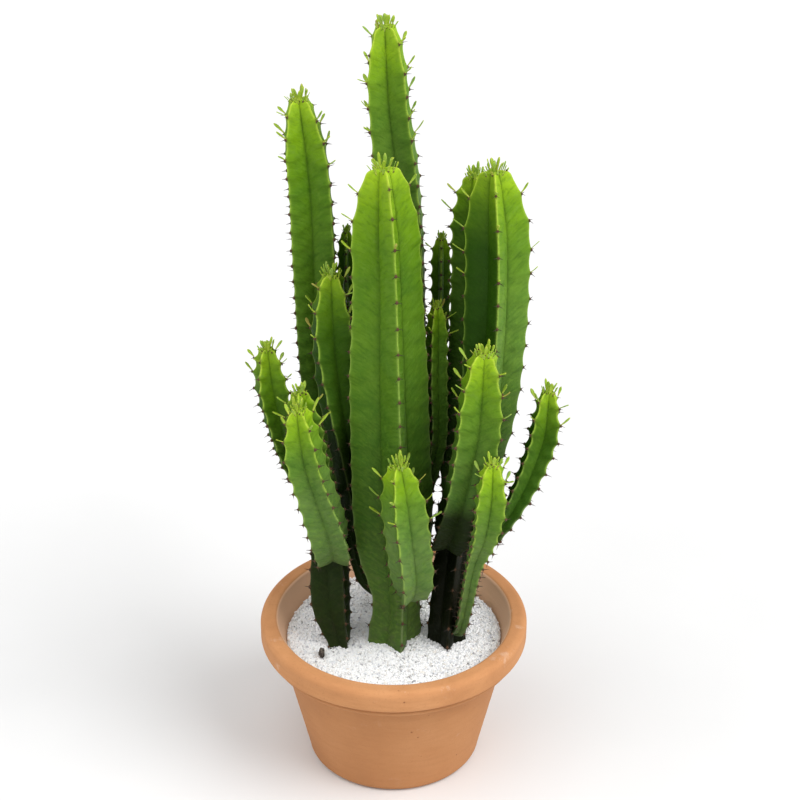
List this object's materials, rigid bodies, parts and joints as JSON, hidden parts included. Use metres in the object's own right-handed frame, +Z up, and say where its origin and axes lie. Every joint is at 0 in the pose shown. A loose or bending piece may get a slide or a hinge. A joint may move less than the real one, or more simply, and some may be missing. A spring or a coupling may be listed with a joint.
{
  "type": "potted tall cactus",
  "caption": "Tall branching four-ribbed cactus clump, rooted in white gravel in a round rimmed terracotta pot, with a tuft of small leaves on each stem tip",
  "frame": {"origin": "on the axis of the pot, in the plane it stands on", "axes": "+Z is up, along the axis of the pot; +Y is the back of the plant, so its front looks along -Y; +X is to the right when it is seen from the front"},
  "size_m": [0.3259, 0.3, 0.8643],
  "materials": {
    "terracotta": "unglazed fired clay, matt, fine pits and pale salt marks",
    "potting_soil": "damp dark potting soil",
    "white_gravel": "small broken white chippings, dry",
    "dark_stone": "dull dark pebble",
    "stem_skin": "smooth waxy green plant skin, darker and duller lower down",
    "young_leaf": "soft yellow-green leaf"
  },
  "bodies": {
    "root": {"pot": "terracotta", "soil": "potting_soil", "gravel": "white_gravel", "dark_stone": "dark_stone", "stem_centre": "stem_skin", "stem_centre_crown": "young_leaf", "stem_back_tallest": "stem_skin", "stem_back_tallest_crown": "young_leaf", "stem_left_tall": "stem_skin", "stem_left_tall_crown": "young_leaf", "stem_right_tall": "stem_skin", "stem_right_tall_crown": "young_leaf", "branch_right_back": "stem_skin", "branch_right_back_crown": "young_leaf", "branch_left_middle": "stem_skin", "branch_left_middle_crown": "young_leaf", "branch_left_far": "stem_skin", "branch_left_far_crown": "young_leaf", "branch_left_front": "stem_skin", "branch_left_front_crown": "young_leaf", "branch_left_inner": "stem_skin", "branch_left_inner_crown": "young_leaf", "branch_centre_front": "stem_skin", "branch_centre_front_crown": "young_leaf", "branch_right_front": "stem_skin", "branch_right_front_crown": "young_leaf", "branch_right_low": "stem_skin", "branch_right_low_crown": "young_leaf", "branch_right_far": "stem_skin", "branch_right_far_crown": "young_leaf", "branch_back_left": "stem_skin", "branch_back_left_crown": "young_leaf", "branch_back_right": "stem_skin", "branch_back_right_crown": "young_leaf", "branch_centre_back": "stem_skin", "branch_centre_back_crown": "young_leaf"}
  },
  "joints": []
}
